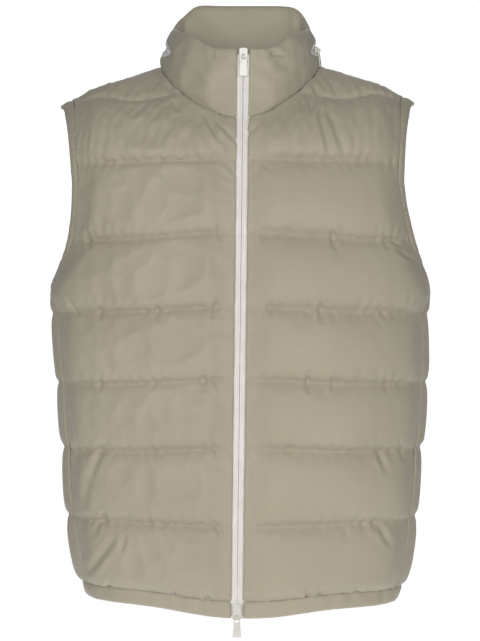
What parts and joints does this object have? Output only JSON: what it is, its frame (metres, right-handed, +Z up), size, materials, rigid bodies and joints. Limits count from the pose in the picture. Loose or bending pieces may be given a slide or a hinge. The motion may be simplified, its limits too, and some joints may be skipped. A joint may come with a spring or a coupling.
{
  "type": "puffer vest",
  "caption": "Sleeveless quilted puffer vest with a stand collar, zipped up and filled out as if worn, with moving zip pulls.",
  "frame": {"origin": "midway between the shoulders where the wearer carries the vest, on its centre plane, a little below the neck points of the shoulder seams", "axes": "+Z up along the wearer's body, the vest's front faces -Y, the wearer's left is +X"},
  "size_m": [0.4857, 0.2769, 0.7887],
  "materials": {
    "shell_fabric": "soft matt polyester shell in khaki taupe, padded",
    "binding_fabric": "folded matt polyester strip in khaki taupe",
    "zip_tape": "woven off-white polyester zip tape with a hidden coil",
    "pocket_tape": "dark tape inside the pocket slits",
    "trim_enamel": "cream enamelled zinc, satin"
  },
  "bodies": {
    "vest": {"front_right_panel": "shell_fabric", "front_left_panel": "shell_fabric", "back_panel": "shell_fabric", "hem_band": "shell_fabric", "collar": "shell_fabric", "armhole_binding_right": "binding_fabric", "armhole_binding_left": "binding_fabric", "zip_tape_right": "zip_tape", "zip_tape_left": "zip_tape", "collar_zip_tape": "zip_tape", "pocket_zip_right": "pocket_tape", "pocket_zip_left": "pocket_tape", "top_slider": "trim_enamel", "bottom_slider": "trim_enamel", "collar_zip_slider": "trim_enamel"},
    "top_zip_pull": {"top_pull": "trim_enamel"},
    "bottom_zip_pull": {"bottom_pull": "trim_enamel"},
    "collar_pull": {"collar_zip_pull": "trim_enamel"}
  },
  "joints": [
    {"name": "top_pull_swing", "type": "hinge", "parent": "vest", "child": "top_zip_pull", "pos_m": [0.00288, -0.1021, 0.028], "axis": [-1, 0, 0], "range_deg": [0, 165]},
    {"name": "bottom_pull_swing", "type": "hinge", "parent": "vest", "child": "bottom_zip_pull", "pos_m": [-0.00497, -0.12016, -0.645], "axis": [-1, 0, 0], "range_deg": [0, 165]},
    {"name": "collar_pull_swing", "type": "hinge", "parent": "vest", "child": "collar_pull", "pos_m": [0.0967, -0.02092, 0.04792], "axis": [-0.2768, -0.9609, 0], "range_deg": [0, 90]}
  ]
}
